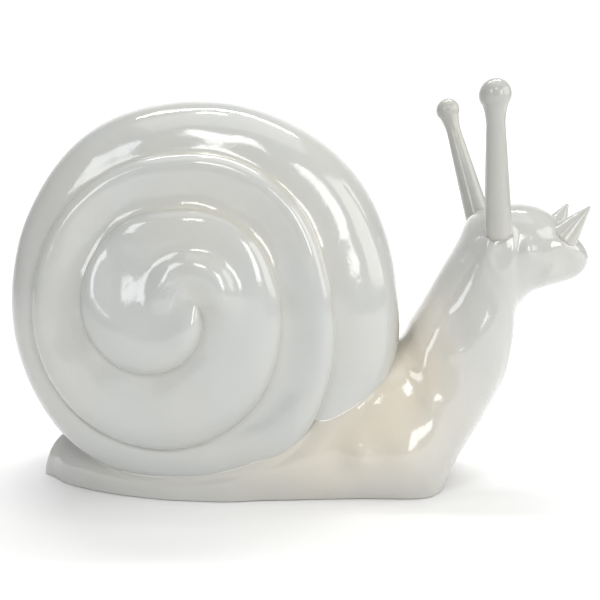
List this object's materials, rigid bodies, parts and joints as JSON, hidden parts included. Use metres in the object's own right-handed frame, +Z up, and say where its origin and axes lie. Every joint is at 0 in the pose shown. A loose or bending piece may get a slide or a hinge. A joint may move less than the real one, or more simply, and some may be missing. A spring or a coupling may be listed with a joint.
{
  "type": "snail figurine",
  "caption": "Glossy off-white garden snail figure: hollow coiled shell on a raised neck and flat foot, with ball-tipped eye stalks and short pointed feelers.",
  "frame": {"origin": "on the floor plane, below the middle of the figure's bounding box; Y = 0 is the joint plane between the right and left mouldings", "axes": "+X towards the head, +Y towards the figure's left side, +Z up"},
  "size_m": [0.5879, 0.2204, 0.4108],
  "materials": {
    "gelcoat_shell": "off-white gelcoat on glass-fibre laminate, high gloss",
    "gelcoat_body": "off-white gelcoat on glass-fibre laminate, high gloss, cream in the creases",
    "gelcoat_casting": "cast resin with the same off-white gloss coat",
    "stalk_steel": "plain steel rod",
    "core_resin": "cast resin, matt, amber grey",
    "plywood": "sealed birch plywood",
    "hardwood": "sawn hardwood, unfinished",
    "zinc_screws": "zinc-plated steel",
    "black_rubber": "moulded black rubber, matt",
    "insert_brass": "turned brass",
    "glass_tape": "resin-wetted glass tape"
  },
  "bodies": {
    "root": {"shell_right_half": "gelcoat_shell", "shell_left_half": "gelcoat_shell", "body_right_half": "gelcoat_body", "body_left_half": "gelcoat_body", "eye_stalk_right": "gelcoat_casting", "eye_stalk_left": "gelcoat_casting", "feeler_right": "gelcoat_casting", "feeler_left": "gelcoat_casting", "stalk_rod_right": "stalk_steel", "stalk_rod_left": "stalk_steel", "feeler_pins": "stalk_steel", "head_core": "core_resin", "base_board": "plywood", "rear_batten": "hardwood", "front_batten": "hardwood", "deck_screws": "zinc_screws", "foot_screws": "zinc_screws", "rubber_feet": "black_rubber", "vent_plug": "black_rubber", "plinth_inserts": "insert_brass", "shell_joint_tape": "glass_tape", "body_joint_tape": "glass_tape"}
  },
  "joints": []
}
